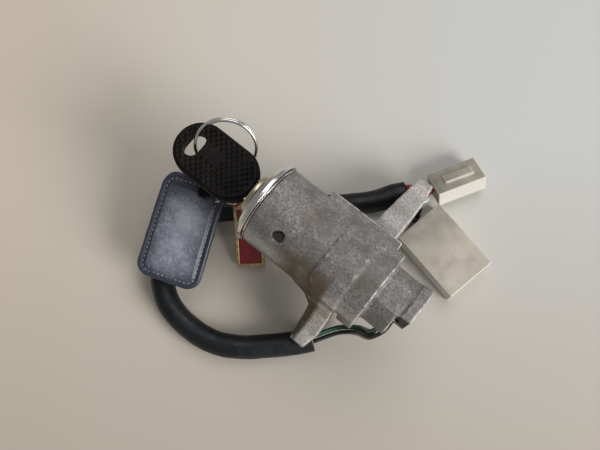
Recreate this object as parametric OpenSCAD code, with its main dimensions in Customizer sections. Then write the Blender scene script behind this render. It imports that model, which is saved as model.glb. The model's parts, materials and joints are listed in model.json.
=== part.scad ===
// Ignition switch with steering lock, key, key ring, fob, tag and harness.
// X runs along the lock barrel from the key to the rear, Y towards the longer wing, Z up.
// The origin is on the steering-column axis, midway between the two clamp bolts. Millimetres.

/* [Housing] */
// Radius of the round barrel
barrel_r = 16.3; // [14:0.1:19]
// Distance from the saddle middle to the front face
front_reach = 39.5; // [34:0.5:46]
// Where the round barrel ends behind the saddle
barrel_end = 12.5; // [11:0.5:16]
// Where the faceted rear section ends
rear_end = 24.5; // [22:0.5:30]
// Half width across flats of the rear section
rear_flat = 11.2; // [10.8:0.1:13]
// Rear flange radius
flange_r = 12.4; // [12:0.1:15]
// Rear flange thickness
flange_t = 4; // [3:0.1:6]
// Barrel axis offset sideways from the column axis
axis_side = 10.8; // [8:0.1:14]
// Barrel axis height above the column axis
axis_up = 33; // [32:0.1:40]

/* [Saddle] */
// Radius of the steering column
column_r = 17; // [14:0.1:18]
// Half span of the two wings
wing_span = 43; // [38:0.5:48]
// Wing thickness along the barrel
wing_t = 10; // [8:0.5:14]
// Height of the wing tips
ear_h = 8; // [6:0.5:10]
// Half distance between the clamp bolts
bolt_half = 29; // [25:0.5:33]
// Clamp bolt hole radius
ear_hole_r = 2.6; // [2.2:0.1:3]
// Clamp bolt hole depth
ear_hole_d = 7.5; // [5:0.5:9]

/* [Lock] */
// Plug radius
plug_r = 9; // [8:0.1:9.5]
// Running clearance of turning pieces
run_gap = 0.03; // [0.02:0.01:0.1]
// Clearance of pieces fitted into the casting
seat_gap = 0.03; // [0.02:0.01:0.1]
// Main bore radius
bore_r = 13.2; // [12.8:0.1:13.6]
// Bezel outer radius
bezel_r = 17.1; // [15:0.1:20]
// Bezel thickness
bezel_t = 4; // [3:0.1:6]
// Plug cap radius
cap_r = 9.7; // [9.2:0.1:10]
// Plug cap reach in front of the bezel
cap_reach = 3.4; // [2:0.1:5]
// Shaft radius
shaft_r = 4.5; // [4:0.1:5]
// Crank pin distance from the axis
crank_r = 5; // [4.6:0.1:5.4]
// Crank pin radius
crank_pin_r = 1.4; // [1.2:0.1:1.6]

/* [Key] */
// Key head length
head_len = 37; // [32:0.5:40]
// Key head width
head_w = 22; // [20:0.5:23]
// Key head thickness
head_t = 6; // [5:0.1:6.4]
// Key blade width
blade_w = 8.4; // [7:0.1:9]
// Key blade thickness
blade_t = 2.2; // [1.8:0.1:2.6]
// Split ring mean radius
ring_r = 11.8; // [11.6:0.1:12.2]
// Split ring wire radius
ring_wire = 0.65; // [0.5:0.05:0.7]

/* [Fob and tag] */
// Fob length
fob_len = 45; // [40:1:50]
// Fob width at its lower end
fob_w = 28; // [22:0.5:28]
// Fob thickness
fob_t = 4.4; // [3:0.1:5]
// Tag length
tag_len = 33; // [28:0.5:35]
// Tag width
tag_w = 12; // [9:0.5:13]
// Tag thickness
tag_t = 2.6; // [2:0.1:3]

/* [Harness] */
// Sheath radius
sheath_r = 5; // [4:0.1:5.2]
// Wire radius
wire_r = 0.9; // [0.6:0.05:1]
// Lower connector length
lower_len = 33; // [28:0.5:38]
// Lower connector width
lower_w = 23; // [20:0.5:25]
// Lower connector height
lower_h = 10; // [8:0.5:12]
// Upper connector length
upper_len = 22; // [18:0.5:26]
// Upper connector width
upper_w = 12; // [10:0.5:14]
// Upper connector height
upper_h = 8; // [7:0.5:10]

/* [Hidden] */
// Which node to draw
$fn = 64;
eps = 0.01;
table_z = -10.6;
front_x = -front_reach;
column_cut = 3 * front_reach;
axis_dist = sqrt(axis_side * axis_side + axis_up * axis_up);
lean = atan2(axis_side, axis_up);

// sleeve and plug
spigot = 2;
sleeve_end = -12;
sleeve_web = 2.5;
plug_end = sleeve_end - sleeve_web - 0.5;
plug_front = front_x - bezel_t + 1;
cap_front = front_x - bezel_t - cap_reach;
cap_gap = 0.5;
pin_x = front_x + 12.3;
pin_tilt = 36;
pin_r = 1.5;
pin_bottom = 11;
pin_proud = 0.35;

// crank and shaft stations
cavity_end = 4.5;
web_end = 8;
disc_front = -8.5;
disc_back = -4.5;
disc_r = 7.2;
neck_r = 2.2;
shaft_end = 9.5;
tang = 5;
tang_end = 16.4;
half_turn = 60;
crank_start = 30;
travel_per_deg = crank_r * sin(half_turn) / half_turn;
slot_mid = travel_per_deg * crank_start;

// bolt, in a frame whose -Z points at the column
slot_half = crank_pin_r + 0.7;
prong = 2.2;
prong_in = neck_r + 0.7;
fork_in = crank_r + crank_pin_r + 0.4;
fork_out = fork_in + 2.4;
bolt_x = 4;
plate_x = 2;
bolt_in = -1.2;
bolt_top = -7.3;
bolt_rest = 0.6;
bolt_tip = -(axis_dist - column_r - bolt_rest);
guide_gap = 0.05;
guide_wall = 3.2;

// switch
chamber_r = 8.6;
rotor_front = 10;
rotor_t = 5;
rotor_r = 7.8;
bridge_t = 0.8;
base_front = 17;
base_back = rear_end + flange_t - 0.3;
pad_t = 1.2;
pad_up = 0.6;
pad_r = 5.6;
window_x = 18.5;
window_w = 7;
window_h = 5.6;

// key stations
head_back = front_x - 8;
head_front = head_back - head_len;
head_edge = 2;
slot_x = head_front + 7.7;
slot_w = 6.4;
slot_l = 10.4;
collar_w = 9.4;
collar_t = 3;
collar_front = head_back - 4;
collar_back = front_x - bezel_t - 1.4;
blade_end = plug_end - 3;
key_gap = 0.15;
socket_gap = 0.02;

// ring, in the head's middle plane
ring_turn = 38;
ring_tilt = 50;
coil_gap = 0.6;
ring_x = slot_x + ring_r * cos(ring_turn);
ring_y = -axis_side + ring_r * sin(ring_turn);
along = [cos(ring_turn), sin(ring_turn), 0];
across = [-sin(ring_turn) * cos(ring_tilt), cos(ring_turn) * cos(ring_tilt), sin(ring_tilt)];
function on_ring(a) = [ring_x, ring_y, axis_up] + ring_r * (cos(a) * along + sin(a) * across);

// fob and tag hang points
hang_angle = -112;
fob_at = on_ring(hang_angle);
link_r = 3.4;
link_wire = 0.7;
link_drop = 0.8;
fob_turn = -70;
fob_slope = 19;
fob_top = [-72.4, -17.8, 17.6];
fob_neck = 20;
fob_shoulder = [4, 3.2];
fob_round = 5;
tag_turn = -49;
tag_slope = 38;
tag_top = [-54, -9.5, 11.6];
tag_rim = 1.5;

// connectors
wire_z = table_z + sheath_r;
lower_mid = [23.2, 26.4];
lower_turn = -11.5;
upper_mid = [9.2, 54.6];
upper_turn = 60;
upper_roll = -24;
pocket_w = 3.2;
pocket_d = 12;
blade_pin_t = 0.8;
blade_pin_w = 2.4;

// Local Z becomes +X along the barrel axis, starting at x.
module on_axis(x) {
    translate([x, -axis_side, axis_up]) rotate([0, 90, 0]) children();
}

// The barrel axis with -Z pointing at the column axis.
module bolt_frame() {
    translate([0, -axis_side, axis_up]) rotate([lean, 0, 0]) children();
}

module tube(h, r_out, r_in) {
    difference() {
        cylinder(h = h, r = r_out);
        translate([0, 0, -eps]) cylinder(h = h + 2 * eps, r = r_in);
    }
}

// A round rod swept along a path, as one closed faceted solid.
function unit(v) = v / norm(v);
function path_dir(p, i) =
    i == 0 ? unit(p[1] - p[0]) :
    i == len(p) - 1 ? unit(p[i] - p[i - 1]) : unit(unit(p[i + 1] - p[i]) + unit(p[i] - p[i - 1]));
function side_of(t) = unit(cross(t, [0, 0, 1]));
function shifted(p, s, n) = [for (i = [0:len(p) - 1]) let(t = path_dir(p, i), a = side_of(t))
    p[i] + s * a + n * cross(a, t)];
module sweep(p, r, sides) {
    pts = [for (i = [0:len(p) - 1]) let(t = path_dir(p, i), a = side_of(t), b = cross(a, t))
        for (k = [0:sides - 1]) p[i] + r * (cos(360 * k / sides) * a + sin(360 * k / sides) * b)];
    walls = [for (i = [0:len(p) - 2]) for (k = [0:sides - 1]) let(m = (k + 1) % sides)
        [i * sides + k, (i + 1) * sides + k, (i + 1) * sides + m, i * sides + m]];
    ends = [[for (k = [0:sides - 1]) k],
        [for (k = [sides - 1:-1:0]) (len(p) - 1) * sides + k]];
    polyhedron(points = pts, faces = concat(walls, ends), convexity = 4);
}
// Catmull-Rom points through p.
function curve(p, n) = concat([for (i = [0:len(p) - 2]) for (j = [0:n - 1])
    let(a = p[max(i - 1, 0)], b = p[i], c = p[i + 1], d = p[min(i + 2, len(p) - 1)], t = j / n)
    0.5 * (2 * b + (c - a) * t + (2 * a - 5 * b + 4 * c - d) * t * t
        + (3 * b - a - 3 * c + d) * t * t * t)], [p[len(p) - 1]]);

// Wing outline across the barrel: both ears, the web over the near side and the slope of the far side.
web_proud = 0.7;
ear_corner = 2.5;
web_r = barrel_r + web_proud;
far_rise = axis_up - 4;
function on_web(a) = [-axis_side + web_r * cos(a), axis_up + web_r * sin(a)];
module wing_profile() {
    polygon([[-wing_span, 0], [-wing_span, ear_h - ear_corner], [-wing_span + 2, ear_h],
        [-wing_span + 6, ear_h + 2.5], [-wing_span + 9.5, ear_h + 7], [-wing_span + 12.5, ear_h + 14],
        on_web(184), on_web(165), on_web(145), on_web(125), on_web(105), on_web(80), on_web(50), on_web(20),
        [-axis_side + barrel_r + 1.5, far_rise], [wing_span - 28, ear_h + 13.5],
        [wing_span - 19, ear_h + 7], [wing_span - 9, ear_h + 2.2],
        [wing_span - 2, ear_h], [wing_span, ear_h - ear_corner], [wing_span, 0]]);
}

// Wing outline from above: the near wing spreads forwards at its root, the far one has a nib by its tip.
web_back = 3.4;
root_front = wing_t / 2 + 4.5;
nib_from = 8;
nib_len = 2;
module wing_plan() {
    polygon([[web_back, 0], [web_back, -bolt_half + ear_hole_r + 3], [wing_t / 2 - 0.8, -bolt_half],
        [wing_t / 2 - 0.8, -wing_span + 7], [wing_t / 2 - 2.6, -wing_span], [-wing_t / 2 + 0.8, -wing_span],
        [-wing_t / 2 - 0.2, -wing_span + 7], [-wing_t / 2 - 0.6, -wing_span + 14],
        [-wing_t / 2 - 2.4, -axis_side - barrel_r + 0.6], [-root_front, -axis_side - barrel_r + 3],
        [-root_front, 0], [-wing_t / 2, axis_side], [-wing_t / 2, wing_span - 22],
        [-wing_t / 2 + 1, wing_span - 7], [-wing_t / 2 + 1.8, wing_span], [wing_t / 2 - 1.8, wing_span],
        [wing_t / 2 - 1, wing_span - nib_from + nib_len], [wing_t / 2 + 0.5, wing_span - nib_from + nib_len],
        [wing_t / 2 + 0.5, wing_span - nib_from], [wing_t / 2 - 0.4, wing_span - nib_from - 1.5],
        [wing_t / 2, wing_span - 18], [wing_t / 2 + 0.6, 0]]);
}

module wings() {
    intersection() {
        translate([-root_front, 0, 0]) rotate([90, 0, 90]) linear_extrude(2 * root_front) wing_profile();
        linear_extrude(axis_up + web_r + 1) wing_plan();
    }
}

module guide_block() {
    bolt_frame() translate([-bolt_x - guide_wall, bolt_in - guide_wall, bolt_tip - 6])
        cube([2 * (bolt_x + guide_wall), fork_out - bolt_in + 2 * guide_wall, -bolt_tip]);
}

// Long rib along the barrel on the side of the far wing.
rib_from = front_x + 15;
rib_to = barrel_end - 4;
rib_proud = 4.4;
rib_low = axis_up - 9;
rib_h = 6;
module side_rib() {
    translate([rib_from, -axis_side, rib_low]) cube([rib_to - rib_from, barrel_r + rib_proud, rib_h]);
}

// Web that carries the front flank of the near wing.
module flank_web() {
    translate([0, 0, axis_up - 18]) linear_extrude(15)
        polygon([[-wing_t / 2 - 12, -axis_side], [-wing_t / 2 - 12, -axis_side - barrel_r + 1.6],
            [-wing_t / 2 - 5, -axis_side - barrel_r + 0.4], [-wing_t / 2 + 1, -axis_side - barrel_r - 3],
            [-wing_t / 2 + 1, -axis_side]]);
}

// Lug beside the barrel behind the near wing.
module wire_lug() {
    translate([wing_t / 2 + 0.6, -axis_side - barrel_r + 0.4, axis_up - 19])
        cube([barrel_end - wing_t / 2 - 0.6, barrel_r - 5, 17]);
}

module lock_housing() color("silver") difference() {
    union() {
        on_axis(front_x) cylinder(h = barrel_end - front_x, r = barrel_r);
        on_axis(barrel_end - 1) rotate([0, 0, 22.5])
            cylinder(h = rear_end - barrel_end + 2, r = rear_flat / cos(22.5), $fn = 8);
        on_axis(rear_end) cylinder(h = flange_t, r = flange_r);
        wings();
        guide_block();
        side_rib();
        flank_web();
        wire_lug();
    }
    on_axis(front_x - 1) cylinder(h = cavity_end - front_x + 1, r = bore_r);
    on_axis(0) cylinder(h = web_end + 1, r = shaft_r + run_gap);
    on_axis(web_end) cylinder(h = rear_end + flange_t - web_end + 1, r = chamber_r);
    bolt_frame() translate([-bolt_x - guide_gap, bolt_in - guide_gap, bolt_tip - 12])
        cube([2 * (bolt_x + guide_gap), fork_out - bolt_in + 2 * guide_gap, -bolt_tip + 4]);
    translate([-column_cut / 2, 0, 0]) rotate([0, 90, 0]) cylinder(h = column_cut, r = column_r);
    for (s = [-1, 1]) translate([0, s * bolt_half, -1]) cylinder(h = ear_hole_d + 1, r = ear_hole_r);
    pin_frame() {
        cylinder(h = barrel_r + 2, r = pin_r + seat_gap);
        translate([0, 0, barrel_r - 1]) cylinder(h = 4, r = pin_r + 0.9);
    }
    translate([window_x, -axis_side, axis_up]) rotate([45, 0, 0])
        translate([0, -rear_flat - 6, -window_h / 2]) cube([window_w, rear_flat + 6, window_h]);
    rear_notch();
}

// Step in the rear end where the wires leave.
rear_step = 4.2;
rear_step_x = rear_end - 1.5;
module rear_notch() {
    translate([rear_step_x, -axis_side - rear_step - 2 * flange_r, axis_up - 2 * flange_r])
        cube([2 * flange_t + 2, 2 * flange_r, 4 * flange_r]);
}

module pin_frame() {
    translate([pin_x, -axis_side, axis_up]) rotate([pin_tilt, 0, 0]) children();
}

// Bright rim round a lower inner ring, with a dark line between rim and casting.
bezel_step = 1.4;
bezel_groove = 0.7;
module front_bezel() color("gainsboro") on_axis(front_x) rotate_extrude()
    polygon([[cap_r + cap_gap, -bezel_t + 0.6], [bezel_r - 3.4, -bezel_t], [bezel_r - 2.4, -bezel_t],
        [bezel_r - 1.9, -bezel_t + bezel_step], [bezel_r - 0.4, -bezel_t + bezel_step],
        [bezel_r, -bezel_t + bezel_step + 0.4], [bezel_r, -bezel_groove], [bezel_r - 1.6, -bezel_groove],
        [bezel_r - 1.6, 0], [bore_r - seat_gap, 0],
        [bore_r - seat_gap, spigot], [cap_r + cap_gap, spigot]]);

module cylinder_sleeve() color("darkgray") difference() {
    union() {
        on_axis(front_x + spigot) tube(sleeve_end - front_x - spigot, bore_r - seat_gap,
            plug_r + run_gap);
        on_axis(sleeve_end - sleeve_web) tube(sleeve_web, bore_r - 1, shaft_r + run_gap);
    }
    pin_frame() translate([0, 0, pin_bottom]) cylinder(h = barrel_r, r = pin_r + seat_gap);
}

module retaining_pin() color("gray") pin_frame() translate([0, 0, pin_bottom + seat_gap])
    cylinder(h = barrel_r - pin_bottom + pin_proud, r = pin_r);

module keyway(w, t, from, to) {
    translate([from, -axis_side - w / 2, axis_up - t / 2]) cube([to - from, w, t]);
}

wafer_n = 5;
wafer_pitch = 4;
wafer_t = 1.1;
wafer_w = 10.6;
wafer_h = 14.4;
function wafer_x(i) = plug_front + 5 + i * wafer_pitch;

module key_plug() color("goldenrod") difference() {
    on_axis(plug_front) cylinder(h = plug_end - plug_front, r = plug_r);
    keyway(blade_w + 2 * key_gap, blade_t + 2 * key_gap, plug_front - 1, blade_end + 0.5);
    for (i = [0:wafer_n - 1]) keyway(wafer_w, wafer_h, wafer_x(i), wafer_x(i) + wafer_t + 0.1);
    on_axis(plug_end - 2) cylinder(h = 3, r = 2.5);
}

module wafers() color("gold") for (i = [0:wafer_n - 1]) difference() {
    keyway(wafer_w - 0.2, wafer_h - 0.2, wafer_x(i) + 0.05, wafer_x(i) + wafer_t + 0.05);
    keyway(blade_w + 2 * key_gap, blade_t + 2 * key_gap + 0.4, wafer_x(i) - 1, wafer_x(i) + 3);
}

module plug_cap() color("burlywood") difference() {
    on_axis(cap_front) rotate_extrude() polygon([[0, 0.5], [cap_r - 2.6, 0.5], [cap_r - 2.3, 0],
        [cap_r - 1.2, 0], [cap_r - 0.9, 0.6], [cap_r - 0.9, 1.9], [cap_r, 2.3],
        [cap_r, plug_front - cap_front], [0, plug_front - cap_front]]);
    keyway(collar_w + 2 * key_gap, collar_t + 2 * key_gap, cap_front - 1, collar_back + 0.4);
    keyway(blade_w + 2 * key_gap, blade_t + 2 * key_gap, cap_front - 1, plug_front + 1);
}

module cam_shaft() color("dimgray") union() {
    on_axis(plug_end - 2 + 0.05) cylinder(h = 3, r = 2.5 - socket_gap);
    on_axis(plug_end) cylinder(h = disc_front - plug_end, r = shaft_r);
    on_axis(disc_front) cylinder(h = disc_back - disc_front, r = disc_r);
    on_axis(disc_back - eps) cylinder(h = cavity_end - disc_back + 0.6, r = neck_r);
    on_axis(cavity_end + 0.3) cylinder(h = shaft_end - cavity_end - 0.3, r = shaft_r);
    bolt_frame() translate([disc_back - eps, crank_r * cos(crank_start), crank_r * sin(crank_start)])
        rotate([0, 90, 0]) cylinder(h = plate_x - disc_back + 0.5, r = crank_pin_r);
    keyway(tang, tang, shaft_end - eps, tang_end);
}

module lock_bolt() color("slategray") bolt_frame() union() {
    translate([-bolt_x, bolt_in, bolt_tip]) cube([2 * bolt_x, fork_out - bolt_in, bolt_top - bolt_tip]);
    translate([-plate_x, 0, 0]) rotate([90, 0, 90]) linear_extrude(2 * plate_x)
        polygon([[fork_in, bolt_top - eps], [fork_out, bolt_top - eps],
            [fork_out, slot_mid + slot_half + prong], [prong_in, slot_mid + slot_half + prong],
            [prong_in, slot_mid + slot_half], [fork_in, slot_mid + slot_half],
            [fork_in, slot_mid - slot_half], [prong_in, slot_mid - slot_half],
            [prong_in, slot_mid - slot_half - prong], [fork_in, slot_mid - slot_half - prong]]);
}

module contact_rotor() color("ivory") difference() {
    on_axis(rotor_front) cylinder(h = rotor_t, r = rotor_r);
    keyway(tang + 2 * socket_gap, tang + 2 * socket_gap, rotor_front - 1, rotor_front + rotor_t + 1);
}

module contact_bridge() color("peru") difference() {
    on_axis(rotor_front + rotor_t) difference() {
        cylinder(h = bridge_t, r = rotor_r - 0.6);
        for (a = [30, 150, 270]) rotate([0, 0, a]) translate([rotor_r - 0.4, 0, -1])
            cylinder(h = 3, r = 2.4);
    }
    keyway(tang + 0.8, tang + 0.8, rotor_front, base_front);
}

module pad_places() {
    for (a = [0, 120, 240]) on_axis(base_front) rotate([0, 0, a]) translate([pad_r, 0, 0]) children();
}

module switch_base() color("dimgray") difference() {
    on_axis(base_front) cylinder(h = base_back - base_front, r = chamber_r - seat_gap);
    pad_places() translate([0, 0, -1]) cylinder(h = pad_t + 1, r = 1.6 + socket_gap);
    translate([window_x, -axis_side, axis_up]) rotate([45, 0, 0])
        translate([0.3, -rear_flat - 6, -window_h / 2]) cube([window_w - 0.6, rear_flat + 3, window_h]);
    rear_notch();
}

module fixed_contacts() color("orange")
    pad_places() translate([0, 0, -pad_up]) cylinder(h = pad_t + pad_up - 0.02, r = 1.6);

// Sheath centre line, laid on the table.
sheath_sides = 12;
wire_sides = 8;
wire_step = wire_r + 0.2;
end_gap = 0.4;
sheath_path = curve([[3, -37.5, wire_z], [-0.5, -42, wire_z], [-9, -50.5, wire_z],
    [-18, -58.5, wire_z], [-28.5, -64, wire_z], [-41, -65.5, wire_z], [-52.5, -63.5, wire_z],
    [-61.5, -57.5, wire_z], [-67.5, -49, wire_z], [-71, -39, wire_z], [-69, -28, wire_z],
    [-62, -19.5, wire_z], [-52.5, -11, wire_z], [-36.5, 3, wire_z], [-21.5, 16.5, wire_z],
    [-13, 25.5, wire_z], [-8.5, 32.5, wire_z], [-5, 37, wire_z]], 3);
module harness_sheath() color("black") sweep(sheath_path, sheath_r, sheath_sides);

switch_path = curve([[window_x + window_w / 2, -axis_side - 4.5, axis_up - 4.5],
    [window_x + window_w / 2, -axis_side - 9, axis_up - 9], [20.5, -23, 17.5], [18.5, -23.5, 10],
    [16, -23.5, 3.5], [12.5, -25, -2], [9, -28, -5], [6, -32.5, wire_z], [3.3, -37.2, wire_z]], 3);
module switch_wires() color("red") for (s = [-1, 1]) for (n = [-1, 1])
    sweep(shifted(switch_path, s * wire_step, n * wire_step), wire_r, wire_sides);

sheath_tip = [-5, 37, wire_z];
sheath_dir = unit([3.5, 4.5, 0]);
sheath_side = side_of(sheath_dir);
upper_z = table_z + upper_w / 2 * sin(-upper_roll) + upper_h / 2 * cos(upper_roll);
upper_end = [upper_mid[0], upper_mid[1], 0] - (upper_len / 2) * [cos(upper_turn), sin(upper_turn), 0];
lower_end = [lower_mid[0], lower_mid[1], 0] - (lower_len / 2) * [cos(lower_turn), sin(lower_turn), 0];
upper_path = curve([sheath_tip - 2.2 * sheath_side + end_gap * sheath_dir,
    sheath_tip - 1.8 * sheath_side + 3 * sheath_dir,
    [upper_end[0], upper_end[1], upper_z] - 2.6 * [cos(upper_turn), sin(upper_turn), 0],
    [upper_end[0], upper_end[1], upper_z] - end_gap * [cos(upper_turn), sin(upper_turn), 0]], 3);
module upper_wires() color("red") for (n = [-1, 1])
    sweep(shifted(upper_path, 0, n * wire_step), wire_r, wire_sides);

lower_path = curve([sheath_tip + 2 * sheath_side + end_gap * sheath_dir,
    sheath_tip + 2.4 * sheath_side + 2.2 * sheath_dir, [2.5, 36.5, wire_z],
    [lower_end[0], lower_end[1] + 1.2, wire_z] - 2.6 * [cos(lower_turn), sin(lower_turn), 0],
    [lower_end[0], lower_end[1] + 1.2, wire_z] - end_gap * [cos(lower_turn), sin(lower_turn), 0]], 3);
module lower_wires() color("black") for (s = [-1, 1]) for (n = [-1, 1])
    sweep(shifted(lower_path, s * wire_step, n * wire_step), wire_r, wire_sides);

module lower_frame() {
    translate([lower_mid[0], lower_mid[1], table_z]) rotate([0, 0, lower_turn]) children();
}
module upper_frame() {
    translate([upper_mid[0], upper_mid[1], upper_z]) rotate([0, 0, upper_turn])
        rotate([upper_roll, 0, 0]) children();
}
function lower_row(i) = (i - 1.5) * (pocket_w + 1.6);
function upper_row(i) = (i - 0.5) * (pocket_w + 1.4);

module lower_connector() color("white") difference() {
    lower_frame() translate([-lower_len / 2, -lower_w / 2, 0]) cube([lower_len, lower_w, lower_h]);
    lower_frame() for (i = [0:3]) translate([lower_len / 2 - pocket_d, lower_row(i) - pocket_w / 2,
        lower_h / 2 - pocket_w / 2]) cube([pocket_d + 1, pocket_w, pocket_w]);
}

module lower_terminals() color("goldenrod") lower_frame() for (i = [0:3])
    translate([lower_len / 2 - pocket_d, lower_row(i) - blade_pin_w / 2, lower_h / 2 - blade_pin_t / 2])
        cube([pocket_d - 2, blade_pin_w, blade_pin_t]);

module upper_connector() color("white") difference() {
    upper_frame() union() {
        translate([-upper_len / 2, -upper_w / 2, -upper_h / 2]) cube([upper_len, upper_w, upper_h]);
        translate([-upper_len / 2 + 5, -2, upper_h / 2 - eps]) cube([upper_len - 9, 4, 0.8]);
    }
    upper_frame() for (i = [0:1]) translate([upper_len / 2 - pocket_d, upper_row(i) - pocket_w / 2,
        -pocket_w / 2]) cube([pocket_d + 1, pocket_w, pocket_w]);
}

module upper_terminals() color("goldenrod") upper_frame() for (i = [0:1])
    translate([upper_len / 2 - pocket_d, upper_row(i) - blade_pin_w / 2, -blade_pin_t / 2])
        cube([pocket_d - 2, blade_pin_w, blade_pin_t]);

module key_blade() color("khaki") union() {
    keyway(collar_w, collar_t, collar_front, collar_back);
    difference() {
        keyway(blade_w, blade_t, collar_back - eps, blade_end);
        for (i = [0:wafer_n - 1]) for (s = [-1, 1])
            translate([wafer_x(i) + wafer_t / 2, -axis_side + s * (blade_w / 2 + 0.9 - (i % 3) * 0.25),
                axis_up - blade_t]) cylinder(h = 2 * blade_t, r = 1.5, $fn = 24);
    }
}

module obround(l, w) {
    square([l - w, w], center = true);
    for (s = [-1, 1]) translate([s * (l - w) / 2, 0]) circle(r = w / 2);
}

module head_plan(inset) {
    translate([(head_front + head_back) / 2, -axis_side])
        obround(head_len - 2 * inset, head_w - 2 * inset);
}

module key_head() color([0.12, 0.12, 0.12]) difference() {
    union() {
        translate([0, 0, axis_up - head_t / 2 + head_edge / 2]) linear_extrude(head_t - head_edge)
            head_plan(0);
        translate([0, 0, axis_up - head_t / 2]) linear_extrude(head_t) head_plan(head_edge / 2);
    }
    translate([slot_x, -axis_side, axis_up - head_t]) linear_extrude(2 * head_t)
        rotate([0, 0, 90]) obround(slot_l, slot_w);
    keyway(collar_w + 2 * socket_gap, collar_t + 2 * socket_gap, collar_front - socket_gap, head_back + 1);
}

module split_ring() color("lightgray") translate([ring_x, ring_y, axis_up])
    rotate([0, 0, ring_turn]) rotate([ring_tilt, 0, 0]) rotate_extrude() translate([ring_r, 0]) union() {
        for (s = [-1, 1]) translate([0, s * coil_gap]) circle(r = ring_wire, $fn = 20);
        square([ring_wire, 2 * coil_gap], center = true);
    }

// A small round link across the ring's wire, standing across the barrel axis.
link_mid = link_r + link_wire;
module fob_link() color("lightgray") translate(fob_at - [0, 0, link_drop]) rotate([0, 90, 0])
    rotate_extrude() translate([link_mid, 0]) circle(r = link_wire, $fn = 16);

// Fob frame: X down its length, Z out of its upper face.
module fob_frame() {
    translate(fob_top) rotate([0, 0, fob_turn]) rotate([0, fob_slope, 0]) children();
}
module fob_plan(inset) {
    polygon([[inset, -fob_neck / 2 + inset], [inset, fob_neck / 2 - inset],
        [fob_shoulder[0], fob_neck / 2 + fob_shoulder[1] - inset], [fob_len - fob_round, fob_w / 2 - inset],
        [fob_len - 1.4 - inset * 0.8, fob_w / 2 - 1.4 - inset * 0.8],
        [fob_len - inset, fob_w / 2 - fob_round - inset * 0.4],
        [fob_len - inset, -fob_w / 2 + fob_round + inset * 0.4],
        [fob_len - 1.4 - inset * 0.8, -fob_w / 2 + 1.4 + inset * 0.8],
        [fob_len - fob_round, -fob_w / 2 + inset],
        [fob_shoulder[0], -fob_neck / 2 - fob_shoulder[1] + inset]]);
}
rivet_x = 4;
rivet_r = 1.5;
strap_x = 0.2;
strap_y = 5;
// Eyelet in the fob's shoulder, and the link through it that carries the tag.
eyelet = [5, 10.4];
eyelet_r = 1.3;
tag_link_r = 4;
tag_wire = 0.6;
tag_link_y = eyelet[1] - 0.3 + tag_link_r;
module fob_leather() color([0.09, 0.1, 0.16]) difference() {
    fob_frame() {
        translate([0, 0, -fob_t / 2]) linear_extrude(fob_t - 1.2) fob_plan(0);
        translate([0, 0, -fob_t / 2]) linear_extrude(fob_t) fob_plan(1);
    }
    fob_frame() {
        translate([rivet_x, strap_y, -fob_t]) cylinder(h = 2 * fob_t, r = rivet_r + socket_gap);
        translate([eyelet[0], eyelet[1], -fob_t]) cylinder(h = 2 * fob_t, r = eyelet_r);
    }
}

module tag_link() color("lightgray") fob_frame() translate([eyelet[0], tag_link_y, 0]) rotate([0, 90, 0])
    rotate_extrude() translate([tag_link_r, 0]) circle(r = tag_wire, $fn = 16);

// A strap eye round a link's wire. The link's round is about X here, and turn is from its lowest point.
eye_in = 1.2;
eye_out = 2.1;
eye_w = 3;
module eye_place(mid, turn, r, w) {
    rotate([turn, 0, 0]) translate([0, -w / 2, -mid]) rotate([-90, 0, 0]) cylinder(h = w, r = r, $fn = 32);
}

// Strap from the fob's upper face up to its link.
strap_w = 4;
strap_t = 1.2;
neck_in = 0.2;
fob_eye_turn = -45;
module fob_strap() color([0.09, 0.1, 0.16]) difference() {
    union() {
        fob_frame() translate([strap_x, strap_y - strap_w / 2, fob_t / 2])
            cube([rivet_x + 3 - strap_x, strap_w, strap_t]);
        difference() {
            hull() {
                translate(fob_at - [0, 0, link_drop]) eye_place(link_mid, fob_eye_turn, eye_out, eye_w);
                fob_frame()
                    translate([strap_x + neck_in, strap_y + neck_in - strap_w / 2, fob_t / 2 + neck_in])
                    cube([1.5, strap_w - 2 * neck_in, strap_t - 2 * neck_in]);
            }
            fob_frame() translate([-socket_gap, -fob_w / 2, -2 * fob_t])
                cube([fob_len, fob_w, 2.5 * fob_t + strap_t / 3]);
        }
    }
    translate(fob_at - [0, 0, link_drop]) eye_place(link_mid, fob_eye_turn, eye_in, 3 * eye_w);
    fob_frame() translate([rivet_x, strap_y, -fob_t]) cylinder(h = 3 * fob_t, r = rivet_r + socket_gap);
}

module fob_rivet() color("lightgray") fob_frame() {
    translate([rivet_x, strap_y, -fob_t / 2]) cylinder(h = fob_t + strap_t, r = rivet_r);
    translate([rivet_x, strap_y, fob_t / 2 + strap_t]) cylinder(h = 0.7, r = 2.4);
}

// Tag frame: X down its length.
module tag_frame_at() {
    translate(tag_top) rotate([0, 0, tag_turn]) rotate([0, tag_slope, 0]) children();
}
module tag_frame() color("gold") tag_frame_at() difference() {
    translate([0, -tag_w / 2, -tag_t / 2]) cube([tag_len, tag_w, tag_t]);
    translate([tag_rim + 5, -tag_w / 2 + tag_rim, -tag_t]) cube([tag_len - 2 * tag_rim - 5,
        tag_w - 2 * tag_rim, 2 * tag_t]);
    translate([2.6, 0, -tag_t]) cylinder(h = 2 * tag_t, r = 1.3);
}
module tag_enamel() color("crimson") tag_frame_at()
    translate([tag_rim + 5 + socket_gap, -tag_w / 2 + tag_rim + socket_gap, -tag_t / 2 + 0.2])
        cube([tag_len - 2 * tag_rim - 5 - 2 * socket_gap, tag_w - 2 * tag_rim - 2 * socket_gap,
            tag_t - 0.3]);
tag_eye_turn = 45;
tag_eye_in = 1;
tag_eye_out = 1.7;
module tag_eye(r, w) {
    fob_frame() translate([eyelet[0], tag_link_y, 0]) eye_place(tag_link_r, tag_eye_turn, r, w);
}
tag_lug = [2.4, 3, 0.8];
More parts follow.
